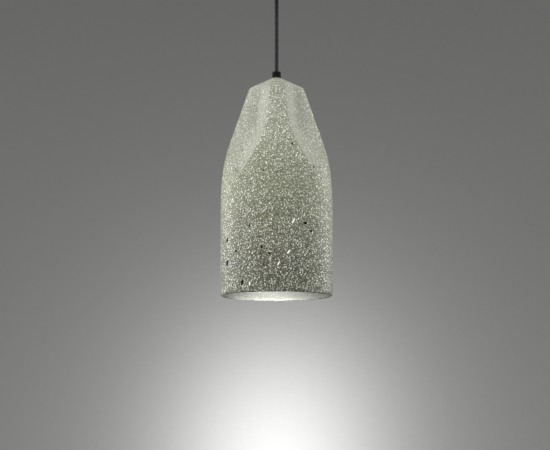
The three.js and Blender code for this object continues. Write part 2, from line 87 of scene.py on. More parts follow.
def make_camera():
    data = bpy.data.cameras.new("camera")
    data.lens = FOCAL_LENGTH
    data.sensor_width = SENSOR_WIDTH
    camera = bpy.data.objects.new("camera", data)
    bpy.context.scene.collection.objects.link(camera)
    across = Vector((math.sin(CAMERA_AZIMUTH), -math.cos(CAMERA_AZIMUTH), 0))
    drop = CAMERA_DISTANCE * math.tan(RIM_ELEVATION)
    camera.location = across * CAMERA_DISTANCE + Vector((0, 0, RIM - drop))
    aim = Vector((AIM_ACROSS, 0, RIM + AIM_ABOVE_RIM))
    camera.rotation_euler = (aim - camera.location).to_track_quat("-Z", "Y").to_euler()
    bpy.context.scene.camera = camera


# Materials

class Nodes:
    """A material's node tree: node() adds one with its inputs and settings, links included."""

    def __init__(self, name):
        self.material = bpy.data.materials.new(name)
        self.material.use_nodes = True
        self.tree = self.material.node_tree
        self.shader = self.tree.nodes["Principled BSDF"]
        self.place = self.node("TexCoord").outputs["Object"]

    def feed(self, socket, value):
        if isinstance(value, bpy.types.NodeSocket):
            self.tree.links.new(value, socket)
        elif isinstance(value, tuple) and len(value) == 3 and socket.type == "RGBA":
            socket.default_value = (*value, 1)
        else:
            socket.default_value = value

    def node(self, kind, inputs=None, **settings):
        made = self.tree.nodes.new("ShaderNode" + kind)
        for name, value in settings.items():
            setattr(made, name, value)
        for name, value in (inputs or {}).items():
            self.feed(made.inputs[name], value)
        return made

    def math(self, operation, first, second=0.0, third=0.0, clamp=False):
        inputs = {0: first, 1: second, 2: third}
        return self.node("Math", inputs, operation=operation, use_clamp=clamp).outputs[0]

    def mix(self, share, first, second):
        """A colour between two: the Mix node takes colours at 6 and 7 and gives one at 2."""
        inputs = {0: share, 6: first, 7: second}
        return self.node("Mix", inputs, data_type="RGBA", clamp_factor=True).outputs[2]

    def noise(self, scale, detail=2.0, roughness=0.5):
        inputs = {"Vector": self.place, "Scale": scale, "Detail": detail}
        inputs["Roughness"] = roughness
        return self.node("TexNoise", inputs)

    def span(self, value, low, high, to_low=0.0, to_high=1.0):
        inputs = {"Value": value, "From Min": low, "From Max": high}
        inputs["To Min"] = to_low
        inputs["To Max"] = to_high
        return self.node("MapRange", inputs).outputs["Result"]

    def moved(self, turn=(0, 0, 0), stretch=(1, 1, 1), shift=(0, 0, 0), place=None):
        inputs = {"Vector": place or self.place, "Location": shift, "Rotation": turn}
        inputs["Scale"] = stretch
        return self.node("Mapping", inputs).outputs["Vector"]

    def bump(self, height, distance, strength=1.0):
        inputs = {"Height": height, "Distance": distance, "Strength": strength}
        self.feed(self.shader.inputs["Normal"], self.node("Bump", inputs).outputs["Normal"])

    def finish(self, **inputs):
        for name, value in inputs.items():
            self.feed(self.shader.inputs[name.replace("_", " ")], value)
        return self.material


def chips(nodes, place, cell, share, low, high, edge=0.12):
    """Where the chips of one size lie, 1 on a chip, and a random tone for each of them. share
    of the cells hold a chip, and its radius is from low to high, in cell widths."""
    inputs = {"Vector": place, "Scale": 1 / cell, "Randomness": 1.0}
    cells = nodes.node("TexVoronoi", inputs, feature="F1")
    chance = nodes.node("SeparateColor", {0: cells.outputs["Color"]}).outputs
    size = nodes.span(chance[1], 0, 1, low, high)
    held = nodes.math("LESS_THAN", chance[0], share)
    reach = nodes.math("SUBTRACT", size, cells.outputs["Distance"])
    inside = nodes.math("MULTIPLY", reach, 1 / edge, clamp=True)
    return nodes.math("MULTIPLY", inside, held), chance[2]


OLIVE_DARK = (0.078, 0.084, 0.050)
OLIVE_LIGHT = (0.196, 0.206, 0.140)
SHADED_PASTE_DARK = (0.034, 0.036, 0.024)
# The paste's colours near the rim, darker as painted shade, and the depths over which it darkens
SHADED_PASTE_LIGHT = (0.128, 0.133, 0.094)
PAINTED_SHADE_DEPTHS = (150, 245)
CHIP_GREY = (0.33, 0.335, 0.260)
CHIP_WHITE = (0.92, 0.91, 0.83)
CHIP_BLACK = (0.008, 0.008, 0.007)
# Painted light and sheen: colours of a pale veil over the top and a brighter one in the valleys, the depths
# over which it fades and how much of it lies on the lobes and in the valleys
PAINTED_SHEEN = (0.198, 0.204, 0.174)
PAINTED_SHEEN_FLANKS = (0.252, 0.260, 0.226)
PAINTED_SHEEN_DEPTHS = (60, 160)
PAINTED_SHEEN_ON_LOBES = 0.28
PAINTED_SHEEN_ON_FLANKS = 0.52
CAST_DARK = (0.21, 0.215, 0.185)
CAST_LIGHT = (0.31, 0.315, 0.28)

# White chips by size: cell in millimetres, share of cells with a chip, radii in cells,
# turn and stretch of the cells
WHITE_CHIPS = [
    (1.35, 0.62, 0.27, 0.46, (0, 0, 0), (1, 1, 1)),
    (1.9, 0.50, 0.27, 0.44, (0.4, 0.2, 0), (1, 1, 1)),
    (2.6, 0.40, 0.23, 0.38, (0, 0.7, 0.3), (1, 1, 0.8)),
    (4.6, 0.30, 0.13, 0.25, (0.3, 0.1, 0), (1, 1, 0.9)),
    (4.6, 0.30, 0.07, 0.16, (0, 0.6, 0), (1, 1, 0.36)),
    (5.0, 0.20, 0.07, 0.15, (0.5, -0.9, 0.4), (1, 1, 0.34)),
]

# Single chips that stand out: degrees to the right of the front, depth below the shade's top,
# half length and half width (mm), and slant (degrees from level)
BLACK_CHIPS = [
    (-62, 210, 3.4, 2.6, 62),
    (-62, 238, 3.6, 2.8, 65),
    (-39, 264, 3.4, 2.0, 80),
    (28, 192, 2.4, 2.1, 0),
    (35, 201, 2.0, 1.7, 0),
    (-17, 222, 1.9, 1.6, 90),
    (16, 94, 1.8, 1.5, 0),
    (44, 120, 2.0, 1.7, 90),
    (-30, 195, 1.5, 1.3, 60),
    (-47, 225, 1.9, 1.7, 60),
    (-9, 230, 1.6, 1.3, 60),
]
WHITE_SPLINTERS = [
    (15, 190, 3.8, 1.0, 60),
    (10, 228, 3.2, 1.1, 50),
    (0, 242, 3.1, 0.9, 60),
    (-30, 266, 2.8, 0.8, 90),
]
# How steeply a single chip's edge fades
CHIP_EDGE = 7.0


def single_chips(nodes, around, listed):
    """Chips at their own places: around holds millimetres round the shade and down it."""
    masks = []
    for angle, depth, long, wide, slant in listed:
        inputs = {
            "Vector": around,
            "Location": (math.radians(angle) * SHADE_RADIUS, depth, 0),
            "Rotation": (0, 0, -math.radians(slant)),
            "Scale": (long, wide, 1),
        }
        local = nodes.node("Mapping", inputs, vector_type="TEXTURE").outputs[0]
        away = nodes.node("VectorMath", {0: local}, operation="LENGTH").outputs["Value"]
        masks.append(nodes.math("MULTIPLY_ADD", away, -CHIP_EDGE, CHIP_EDGE, clamp=True))
    most = masks[0]
    for mask in masks[1:]:
        most = nodes.math("MAXIMUM", most, mask)
    return most


def flanks(nodes, from_front, down):
    """1 in the valleys between the lobes, which start at the creases on each side of a lobe."""
    degrees = nodes.math("MULTIPLY", from_front, math.degrees(1))
    from_lobe = nodes.math("PINGPONG", degrees, 45)
    start, end = CREASE_SPREAD
    spread = nodes.span(down, start, end)
    crease = nodes.math("MULTIPLY_ADD", nodes.math("POWER", spread, 2), 45 - CREASE_ANGLE, CREASE_ANGLE)
    return nodes.span(nodes.math("SUBTRACT", from_lobe, crease), -1.0, 2.5)


def ragged(nodes, reach):
    """The place, pushed about by up to half the reach, so that outlines come out ragged."""
    warp = nodes.noise(1300, 2.0).outputs["Color"]
    push = nodes.node("VectorMath", {0: warp, 1: (0.5, 0.5, 0.5)}, operation="SUBTRACT")
    inputs = {0: push.outputs[0], "Scale": reach}
    scaled = nodes.node("VectorMath", inputs, operation="SCALE")
    inputs = {0: nodes.place, 1: scaled.outputs[0]}
    return nodes.node("VectorMath", inputs, operation="ADD").outputs[0]


def terrazzo():
    """The shade's polished face: white, grey and black chips in an olive-grey paste. The paste
    darkens towards the rim as painted shade, and a pale veil of painted light and sheen covers more of the
    chips at the top and in the valleys."""
    nodes = Nodes("terrazzo")
    place = ragged(nodes, 0.6 * MM)
    clouds = nodes.span(nodes.noise(45, 3.0).outputs["Fac"], 0.3, 0.7)
    sand = nodes.span(nodes.noise(520, 3.0, 0.6).outputs["Fac"], 0.36, 0.64)
    mottle = nodes.math("MULTIPLY_ADD", sand, 0.8, nodes.math("MULTIPLY", clouds, 0.2))
    parts = nodes.node("SeparateXYZ", {0: place}).outputs
    from_front = nodes.math("ARCTAN2", parts[0], nodes.math("MULTIPLY", parts[1], -1))
    across = nodes.math("MULTIPLY", from_front, SHADE_RADIUS)
    down = nodes.math("MULTIPLY_ADD", parts[2], -1 / MM, SHADE_TOP / MM)
    around = nodes.node("CombineXYZ", {0: across, 1: down}).outputs[0]
    # Painted shade: the paste darkens towards the rim
    painted_shade_low = nodes.span(down, *PAINTED_SHADE_DEPTHS)
    dark_paste = nodes.mix(painted_shade_low, OLIVE_DARK, SHADED_PASTE_DARK)
    light_paste = nodes.mix(painted_shade_low, OLIVE_LIGHT, SHADED_PASTE_LIGHT)
    colour = nodes.mix(mottle, dark_paste, light_paste)
    solid = nodes.math("MULTIPLY", sand, 0.1)
    for index, (cell, share, low, high, turn, stretch) in enumerate(WHITE_CHIPS):
        shift = (0.13 * index, 0.07 * index, 0.05 * index)
        at = nodes.moved(turn, stretch, shift, place)
        mask, tone = chips(nodes, at, cell * MM, share, low, high)
        tone = nodes.math("POWER", tone, 1.3)
        colour = nodes.mix(mask, colour, nodes.mix(tone, CHIP_GREY, CHIP_WHITE))
        solid = nodes.math("MAXIMUM", solid, mask)
    flank = flanks(nodes, from_front, down)
    # Painted light and sheen: a pale veil over the top, and a brighter one in the valleys
    painted_sheen = nodes.span(down, *PAINTED_SHEEN_DEPTHS, PAINTED_SHEEN_ON_LOBES, 0)
    painted_sheen = nodes.math("MAXIMUM", painted_sheen, nodes.math("MULTIPLY", flank, PAINTED_SHEEN_ON_FLANKS))
    colour = nodes.mix(painted_sheen, colour, nodes.mix(flank, PAINTED_SHEEN, PAINTED_SHEEN_FLANKS))
    splinters = single_chips(nodes, around, WHITE_SPLINTERS)
    colour = nodes.mix(splinters, colour, CHIP_WHITE)
    shift = nodes.moved(shift=(0.2, 0.4, 0.1), place=place)
    few, _ = chips(nodes, shift, 12 * MM, 0.35, 0.05, 0.11, 0.03)
    dark = nodes.math("MAXIMUM", few, single_chips(nodes, around, BLACK_CHIPS))
    colour = nodes.mix(dark, colour, CHIP_BLACK)
    for mask in (splinters, dark):
        solid = nodes.math("MAXIMUM", solid, mask)
    rough = nodes.span(solid, 0, 1, 0.5, 0.42)
    shine = nodes.span(dark, 0, 1, 0.2, 0)
    pits = nodes.noise(1500, 4.0, 0.6).outputs["Fac"]
    height = nodes.math("MULTIPLY_ADD", solid, 0.5, pits)
    nodes.bump(height, 0.05 * MM, 0.5)
    return nodes.finish(Base_Color=colour, Roughness=rough, Specular_IOR_Level=shine)


def cast_face():
    """The shade's inside, left as it came from the mould: a pale skin over the same mix."""
    nodes = Nodes("terrazzo_cast_face")
    clouds = nodes.noise(30, 4.0, 0.6).outputs["Fac"]
    fine = nodes.noise(700, 3.0, 0.6).outputs["Fac"]
    both = nodes.math("MULTIPLY_ADD", fine, 0.5, nodes.math("MULTIPLY", clouds, 0.5))
    colour = nodes.mix(nodes.span(both, 0.38, 0.62), CAST_DARK, CAST_LIGHT)
    showing, tone = chips(nodes, nodes.place, 2.6 * MM, 0.45, 0.16, 0.34)
    colour = nodes.mix(nodes.math("MULTIPLY", showing, 0.6), colour, CHIP_WHITE)
    holes, _ = chips(nodes, nodes.moved(shift=(0.3, 0.1, 0.2)), 7 * MM, 0.3, 0.03, 0.10, 0.03)
    # The holes take the darker paste tone that the polished face has near the rim
    colour = nodes.mix(nodes.math("MULTIPLY", holes, 0.7), colour, SHADED_PASTE_LIGHT)
    rough = nodes.span(both, 0.3, 0.7, 0.55, 0.7)
    nodes.bump(nodes.math("MULTIPLY_ADD", holes, -3.0, fine), 0.08 * MM, 0.6)
    return nodes.finish(Base_Color=colour, Roughness=rough)


def speckled(name, dark, light, roughness, grain, depth, **more):
    """A finish with a fine grain in colour, roughness and height."""
    nodes = Nodes(name)
    fine = nodes.noise(grain, 4.0, 0.6).outputs["Fac"]
    broad = nodes.noise(grain / 14, 2.0).outputs["Fac"]
    both = nodes.math("MULTIPLY_ADD", fine, 0.6, nodes.math("MULTIPLY", broad, 0.4))
    tone = nodes.span(both, 0.35, 0.65)
    colour = nodes.mix(tone, dark, light)
    rough = nodes.span(both, 0.3, 0.7, roughness - 0.08, roughness + 0.08)
    nodes.bump(fine, depth)
    return nodes.finish(Base_Color=colour, Roughness=rough, **more)


def braided():
    """A black textile-covered cable: crossed threads, from the angle round it and its height."""
    nodes = Nodes("cord_braid")
    parts = nodes.node("SeparateXYZ", {0: nodes.place}).outputs
    angle = nodes.math("ARCTAN2", parts[1], parts[0])
    turns = nodes.math("MULTIPLY", angle, 8)
    rise = nodes.math("MULTIPLY", parts[2], 2 * math.pi / (1.1 * MM))
    one = nodes.math("SINE", nodes.math("ADD", turns, rise))
    other = nodes.math("SINE", nodes.math("SUBTRACT", turns, rise))
    weave = nodes.math("MAXIMUM", one, other)
    fuzz = nodes.noise(4000, 2.0).outputs["Fac"]
    tone = nodes.math("MULTIPLY_ADD", weave, 0.35, fuzz)
    colour = nodes.mix(nodes.span(tone, 0.2, 1.0), (0.004, 0.004, 0.005), (0.012, 0.012, 0.013))
    nodes.bump(weave, 0.12 * MM, 0.7)
    return nodes.finish(Base_Color=colour, Roughness=0.5, Specular_IOR_Level=0.15)


BULB_STRENGTH = 4.5


def opal():
    """The lit globe: white, brightest towards the bottom."""
    nodes = Nodes("opal_globe")
    height = nodes.node("SeparateXYZ", {0: nodes.place}).outputs[2]
    lit = nodes.span(height, BULB_LOW.z, BULB_HIGH.z, 1.0, 0.55)
    frost = nodes.span(nodes.noise(300, 3.0).outputs["Fac"], 0.2, 0.8, 0.94, 1.0)
    strength = nodes.math("MULTIPLY", nodes.math("MULTIPLY", lit, frost), BULB_STRENGTH)
    tone = nodes.mix(frost, (0.9, 0.87, 0.8), (0.95, 0.93, 0.88))
    nodes.finish(Emission_Color=(0.94, 0.97, 1.08), Emission_Strength=strength)
    return nodes.finish(Base_Color=tone, Roughness=0.35)


def metal(name, dark, light, roughness):
    """Bare or plated metal with a fine grain, a little cloudy."""
    nodes = Nodes(name)
    fine = nodes.noise(2500, 3.0, 0.6).outputs["Fac"]
    broad = nodes.noise(120, 2.0).outputs["Fac"]
    tone = nodes.math("MULTIPLY_ADD", fine, 0.6, nodes.math("MULTIPLY", broad, 0.4))
    colour = nodes.mix(nodes.span(tone, 0.3, 0.7), dark, light)
    rough = nodes.span(tone, 0.3, 0.7, roughness - 0.08, roughness + 0.1)
    nodes.bump(fine, 0.02 * MM)
    return nodes.finish(Base_Color=colour, Roughness=rough, Metallic=1.0)


def make_materials():
    return {
        "terrazzo": terrazzo(),
        "cast_face": cast_face(),
        "cord_sheath": braided(),
        "opal_globe": opal(),
        "black_plastic": speckled(
            "black_plastic", (0.002, 0.002, 0.0025), (0.006, 0.006, 0.0065), 0.5, 3500, 0.02 * MM,
            Specular_IOR_Level=0.03,
        ),
        "rose_paint": speckled(
            "rose_paint", (0.012, 0.012, 0.013), (0.026, 0.026, 0.028), 0.5, 2600, 0.05 * MM
        ),
        "rubber": speckled("rubber", (0.012, 0.012, 0.012), (0.03, 0.03, 0.03), 0.78, 3000, 0.04 * MM),
        "zinc_steel": metal("zinc_steel", (0.30, 0.31, 0.33), (0.46, 0.47, 0.50), 0.46),
        "brass": metal("brass", (0.58, 0.40, 0.16), (0.80, 0.60, 0.28), 0.3),
        "nickel": metal("nickel", (0.55, 0.54, 0.51), (0.72, 0.71, 0.68), 0.26),
        "white_plastic": speckled(
            "white_plastic", (0.72, 0.71, 0.67), (0.82, 0.81, 0.77), 0.4, 1800, 0.02 * MM
        ),
        "insert_ceramic": speckled(
            "insert_ceramic", (0.74, 0.72, 0.66), (0.86, 0.84, 0.79), 0.55, 1500, 0.05 * MM
        ),
        "circuit_board": speckled(
            "circuit_board", (0.62, 0.66, 0.60), (0.78, 0.80, 0.76), 0.45, 900, 0.02 * MM
        ),
        "brown_wire": speckled(
            "brown_wire", (0.09, 0.035, 0.015), (0.14, 0.06, 0.03), 0.4, 2500, 0.02 * MM
        ),
        "blue_wire": speckled("blue_wire", (0.02, 0.07, 0.28), (0.04, 0.12, 0.38), 0.4, 2500, 0.02 * MM),
        "earth_wire": speckled("earth_wire", (0.10, 0.22, 0.02), (0.45, 0.48, 0.03), 0.4, 160, 0.02 * MM),
    }


# Mesh helpers

def new_piece(name, vertices, faces, smooth=True):
    mesh = bpy.data.meshes.new(name)
    mesh.from_pydata(vertices, [], faces)
    mesh.validate()
    mesh.update()
    piece = bpy.data.objects.new(name, mesh)
    bpy.context.scene.collection.objects.link(piece)
    if smooth:
        mesh.shade_smooth()
    return piece


def loft(rows):
    """Vertices and faces of rings joined one to the next, and the last to the first."""
    across = len(rows[0])
    vertices = [point for row in rows for point in row]
    faces = []
    for i in range(len(rows)):
        here = i * across
        after = (i + 1) % len(rows) * across
        for j in range(across):
            beside = (j + 1) % across
            faces.append((here + j, here + beside, after + beside, after + j))
    return vertices, faces


def turned(name, profile, segments=96, ribs=0, rib_depth=0.0, ribbed=()):
    """A body turned about Z from (radius, height) points in metres: the profile is closed,
    and a point on the axis becomes a cap. Rows listed in ribbed get ribs."""
    rows = []
    for index, (radius, height) in enumerate(profile):
        row = []
        for j in range(segments):
            angle = 2 * math.pi * j / segments
            deep = rib_depth * (0.5 - 0.5 * math.cos(ribs * angle)) if index in ribbed else 0
            reach = max(radius - deep, 0)
            row.append((reach * math.cos(angle), reach * math.sin(angle), height))
        rows.append(row)
    vertices, faces = loft(rows)
    piece = new_piece(name, vertices, faces)
    weld(piece)
    return piece


def weld(piece, distance=1e-6):
    """Joins the points that lie together, drops what has no area and turns the faces out."""
    mesh = bmesh.new()
    mesh.from_mesh(piece.data)
    bmesh.ops.remove_doubles(mesh, verts=mesh.verts, dist=distance)
    bmesh.ops.dissolve_degenerate(mesh, edges=mesh.edges, dist=distance)
    bmesh.ops.recalc_face_normals(mesh, faces=mesh.faces)
    mesh.to_mesh(piece.data)
    mesh.free()
    piece.data.update()


def sharpen(piece, angle=35):
    """Keeps edges sharper than the angle crisp under smooth shading."""
    for polygon in piece.data.polygons:
        polygon.use_smooth = True
    piece.data.set_sharp_from_angle(angle=math.radians(angle))


def rounded(corners, cut_back, steps=4):
    """A closed profile with its corners rounded: (radius, height) points in metres. A corner's
    third value is how far back its own rounding starts."""
    points = []
    count = len(corners)
    for i, corner in enumerate(corners):
        here = Vector(corner[:2])
        before = Vector(corners[i - 1][:2]) - here
        after = Vector(corners[(i + 1) % count][:2]) - here
        wanted = corner[2] if len(corner) == 3 else cut_back
        cut = min(wanted, before.length * 0.45, after.length * 0.45)
        start = here + before.normalized() * cut
        end = here + after.normalized() * cut
        for step in range(steps + 1):
            t = step / steps
            point = start * (1 - t) ** 2 + here * 2 * t * (1 - t) + end * t * t
            points.append((point.x, point.y))
    return points


def rod(radius, start, end, segments=24):
    """A plain round bar between two points."""
    start, end = Vector(start), Vector(end)
    length = (end - start).length
    bar = turned("rod", [(0, 0), (radius, 0), (radius, length), (0, length)], segments)
    turn = (end - start).to_track_quat("Z", "Y").to_matrix().to_4x4()
    bar.data.transform(Matrix.Translation(start) @ turn)
    return bar


def block(low, high):
    """A plain box between two corners."""
    xs, ys, zs = zip(low, high)
    vertices = [(x, y, z) for z in zs for x, y in zip(xs + xs[::-1], (ys[0], ys[0], ys[1], ys[1]))]
    faces = [(0, 3, 2, 1), (4, 5, 6, 7)]
    faces += [(i, (i + 1) % 4, (i + 1) % 4 + 4, i + 4) for i in range(4)]
    return new_piece("block", vertices, faces, smooth=False)


def cut_away(piece, *tools):
    """Takes the tools' volumes out of a piece and deletes the tools."""
    for tool in tools:
        cutter = piece.modifiers.new("cut", "BOOLEAN")
        cutter.operation = "DIFFERENCE"
        cutter.solver = "EXACT"
        cutter.object = tool
    graph = bpy.context.evaluated_depsgraph_get()
    result = bpy.data.meshes.new_from_object(piece.evaluated_get(graph))
    piece.modifiers.clear()
    piece.data = result
    for tool in tools:
        bpy.data.objects.remove(tool)


def place_piece(piece, material, body, slot, *nodes):
    """Gives a piece its material, the body it moves with and the CAD nodes it stands for."""
    piece.data.materials.clear()
    piece.data.materials.append(material)
    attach(piece, body)
    if nodes:
        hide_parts(*nodes)


# The cord

def make_cord(material):
    """A straight round cable from the rose's outlet to the collar on the shade."""
    top = CORD_HIGH.z
    bottom = CORD_LOW.z
    steps = 36
    levels = [top + (bottom - top) * i / steps for i in range(steps + 1)]
    profile = [(0, top)] + [(CORD_RADIUS, level) for level in levels] + [(0, bottom)]
    cable = turned("cord_cable", profile, 32)
    sharpen(cable, 40)
    place_piece(cable, material, "hanging_cord", "cord_sheath", "cord")


# The shade: the same form as the CAD node's, with fine steps and softened creases. Radii, depths
# below its top and other lengths are in millimetres, and angles in degrees

SHADE_HEIGHT = (SHADE_TOP - RIM) / MM
SHADE_WALL = 4.2
HUB_THICKNESS = 6.5
TUBE_HOLE = 4.2
TOP_FLAT_RADIUS = 5.6
ROOF_SLOPE = 2.1
ROOF_DEPTH = 11.4
SHOULDER_DEPTH = 15.4
FLANK_SLOPE = 0.346
FLANK_END_DEPTH = 85.3
FLANK_END_RADIUS = 59.3
BODY_START_DEPTH = 183
LIP_TUCK_DEPTH = 249
LIP_TUCK = 0.7
PINCH = 18
PINCH_START = 50
PINCH_FADE = (70, 134)
PINCH_FADE_POWER = 1.1
VALLEY_SOFTNESS = 16
CREASE_SOFTNESS = (0.14, 0.04)
CREASE_SOFTNESS_DEPTHS = (35, 110)
CREASE_FLARE = 20
CREASE_FLARE_DEPTH = 4
WAVINESS = 0.12
WAVE_SCALE = 0.045
WAVE_START = (8, 40)
LIP_DEPTH = 2.0
LIP_STEPS = 8


def smoothstep(value, low, high):
    t = min(max((value - low) / (high - low), 0), 1)
    return t * t * (3 - 2 * t)


def hermite(t, span, start, start_slope, end, end_slope):
    rise = t * t * (3 - 2 * t)
    leave = t * (1 - t) ** 2 * span * start_slope
    arrive = t * t * (1 - t) * span * end_slope
    return start + (end - start) * rise + leave - arrive


def lobe_radius(depth):
    if depth <= ROOF_DEPTH:
        return TOP_FLAT_RADIUS + ROOF_SLOPE * depth
    if depth < SHOULDER_DEPTH:
        span = SHOULDER_DEPTH - ROOF_DEPTH
        start = TOP_FLAT_RADIUS + ROOF_SLOPE * ROOF_DEPTH
        end = FLANK_END_RADIUS - FLANK_SLOPE * (FLANK_END_DEPTH - SHOULDER_DEPTH)
        return hermite((depth - ROOF_DEPTH) / span, span, start, ROOF_SLOPE, end, FLANK_SLOPE)
    if depth < FLANK_END_DEPTH:
        return FLANK_END_RADIUS - FLANK_SLOPE * (FLANK_END_DEPTH - depth)
    if depth < BODY_START_DEPTH:
        span = BODY_START_DEPTH - FLANK_END_DEPTH
        t = (depth - FLANK_END_DEPTH) / span
        return hermite(t, span, FLANK_END_RADIUS, FLANK_SLOPE, SHADE_RADIUS, 0)
    return SHADE_RADIUS - LIP_TUCK * smoothstep(depth, LIP_TUCK_DEPTH, SHADE_HEIGHT) ** 2


def pinch_depth(depth):
    """How far in the valleys lie: deeper down from the top, then out again over the fade."""
    start, end = PINCH_FADE
    faded = min(max((depth - start) / (end - start), 0), 1) ** PINCH_FADE_POWER
    return PINCH * math.tanh(depth / PINCH_START) * (1 - faded)


def crease_angle(depth):
    start, end = CREASE_SPREAD
    spread = min(max((depth - start) / (end - start), 0), 1) ** 2
    flare = CREASE_FLARE * math.exp(-depth / CREASE_FLARE_DEPTH)
    return CREASE_ANGLE + (45 - CREASE_ANGLE) * spread + flare


def shade_radius(from_lobe, depth):
    crease = min(crease_angle(depth), 44.9)

    def softened(angle):
        return math.hypot(angle, VALLEY_SOFTNESS) - VALLEY_SOFTNESS

    climb = softened(45 - abs(from_lobe)) / softened(45 - crease)
    soft, crisp = CREASE_SOFTNESS
    width = soft + (crisp - soft) * smoothstep(depth, *CREASE_SOFTNESS_DEPTHS)
    blend = max(width - abs(climb - 1), 0) / width
    climb = min(climb, 1) - blend * blend * width / 4
    return lobe_radius(depth) - pinch_depth(depth) * (1 - climb)


def shade_point(angle, depth):
    """A point of the outer face, in millimetres from the middle of the shade's top."""
    from_lobe = angle - 90 * round(angle / 90)
    around = math.radians(angle)
    radius = shade_radius(from_lobe, depth)
    return Vector((radius * math.cos(around), radius * math.sin(around), -depth))


def inner_point(angle, depth):
    step = 0.5
    at = shade_point(angle, depth)
    around = shade_point(angle + step, depth) - shade_point(angle - step, depth)
    down = shade_point(angle, depth + step) - shade_point(angle, max(0, depth - step))
    point = at + around.cross(down).normalized() * SHADE_WALL
    point.z = min(point.z, -HUB_THICKNESS)
    return point


def spaced(stops):
    """Depths between stops (depth, steps to the next)."""
    depths = []
    for (start, steps), (end, _) in zip(stops, stops[1:]):
        depths += [start + (end - start) * i / steps for i in range(steps)]
    return depths + [stops[-1][0]]


def make_shade(polished, cast):
    columns = 288
    angles = [360 * j / columns for j in range(columns)]
    outer_stops = [(0, 14), (11, 12), (17, 36), (80, 40), (145, 14), (190, 16), (250, 8)]
    outer = spaced(outer_stops + [(SHADE_HEIGHT - LIP_DEPTH, 0)])
    inner = spaced([(16, 22), (80, 26), (145, 8), (190, 8), (SHADE_HEIGHT - 4, 0)])
    lip = SHADE_RADIUS - LIP_TUCK

    def wavy(point):
        swell = WAVINESS * noise(point * WAVE_SCALE) * smoothstep(-point.z, *WAVE_START)
        flat = Vector((point.x, point.y, 0)).normalized()
        return point + flat * swell

    def ring(radius, height):
        row = []
        for angle in angles:
            around = math.radians(angle)
            row.append(Vector((radius * math.cos(around), radius * math.sin(around), height)))
        return row

    half = SHADE_WALL / 2
    rows = [ring(TUBE_HOLE, 0), ring(TUBE_HOLE + 0.7, 0)]
    rows += [[wavy(shade_point(angle, depth)) for angle in angles] for depth in outer]
    # The cast face starts at the sixth row of the lip's round, two rows inside its lowest one
    first_cast = len(rows) + 5
    for step in range(1, LIP_STEPS):
        turn = math.pi * step / LIP_STEPS
        height = LIP_DEPTH * (1 - math.sin(turn)) - SHADE_HEIGHT
        rows.append(ring(lip - half + half * math.cos(turn), height))
    rows += [[inner_point(angle, depth) for angle in angles] for depth in reversed(inner)]
    rows += [ring(TUBE_HOLE + 5.2, -HUB_THICKNESS), ring(TUBE_HOLE, -HUB_THICKNESS)]
    top = Vector((0, 0, SHADE_TOP))
    vertices, faces = loft([[point * MM + top for point in row] for row in rows])
    piece = new_piece("terrazzo_shade", vertices, faces)
    place_piece(piece, polished, "lamp", "terrazzo", "shade")
    piece.data.materials.append(cast)
    for index, polygon in enumerate(piece.data.polygons):
        polygon.material_index = int(index // columns >= first_cast)
    weld(piece)
    sharpen(piece, 50)


# The collar and gasket on top of the shade

def make_collar(material):
    low, high = COLLAR_LOW.z, COLLAR_HIGH.z
    outer = (COLLAR_HIGH.x - COLLAR_LOW.x) / 2
    corners = [
        (CORD_BORE, low + 3 * MM),
        (CORD_BORE, high),
        (outer - 0.8 * MM, high),
        (outer, high - 0.9 * MM),
        (outer, low + 1.5 * MM),
        (outer - 0.25 * MM, low + 1.2 * MM),
        (outer, low + 0.9 * MM),
        (outer, low),
        (TUBE_HOLE * MM, low),
        (TUBE_HOLE * MM, low + 3 * MM),
    ]
    profile = rounded(corners, 0.25 * MM, 3)
    ribbed = [i for i, (radius, _) in enumerate(profile) if radius > outer - 0.35 * MM]
    piece = turned("collar", profile, 240, ribs=30, rib_depth=0.18 * MM, ribbed=ribbed)
    level = (SCREW_LOW.z + SCREW_HIGH.z) / 2
    cut_away(piece, rod(0.9 * MM, (0, CORD_RADIUS, level), (0, 2 * outer, level)))
    sharpen(piece, 40)
    place_piece(piece, material, "lamp", "black_plastic", "grip_collar")


def make_gasket(material):
    low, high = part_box("top_gasket")
    corners = [(TUBE_HOLE * MM, low.z), (high.x, low.z), (high.x, high.z), (TUBE_HOLE * MM, high.z)]
    piece = turned("collar_gasket", rounded(corners, 0.2 * MM, 3), 96)
    sharpen(piece, 50)
    place_piece(piece, material, "lamp", "rubber", "top_gasket")


# The ceiling rose

CUP_RADIUS = CUP_HIGH.x
CUP_SHEET = 1.2 * MM
OUTLET_HOLE = 5.3 * MM


def make_cup(material):
    """The pressed steel cup that covers the bracket, with a rounded lower edge."""
    floor, top = CUP_LOW.z, CUP_HIGH.z
    inner = CUP_RADIUS - CUP_SHEET
    corners = [
        (OUTLET_HOLE, floor, 0.3 * MM),
        (CUP_RADIUS, floor, 5 * MM),
        (CUP_RADIUS, top, 0.3 * MM),
        (inner, top, 0.3 * MM),
        (inner, floor + CUP_SHEET, 4 * MM),
        (OUTLET_HOLE, floor + CUP_SHEET, 0.3 * MM),
    ]
    piece = turned("rose_cup", rounded(corners, 0.3 * MM, 8), 144)
    for side in (-1, 1):
        low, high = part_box("canopy_screw_right" if side > 0 else "canopy_screw_left")
        level = (low.z + high.z) / 2
        cut_away(piece, rod(2.2 * MM, (side * 0.04, 0, level), (side * 0.06, 0, level)))
    sharpen(piece, 40)
    place_piece(piece, material, "rose", "rose_paint", "canopy_cup")


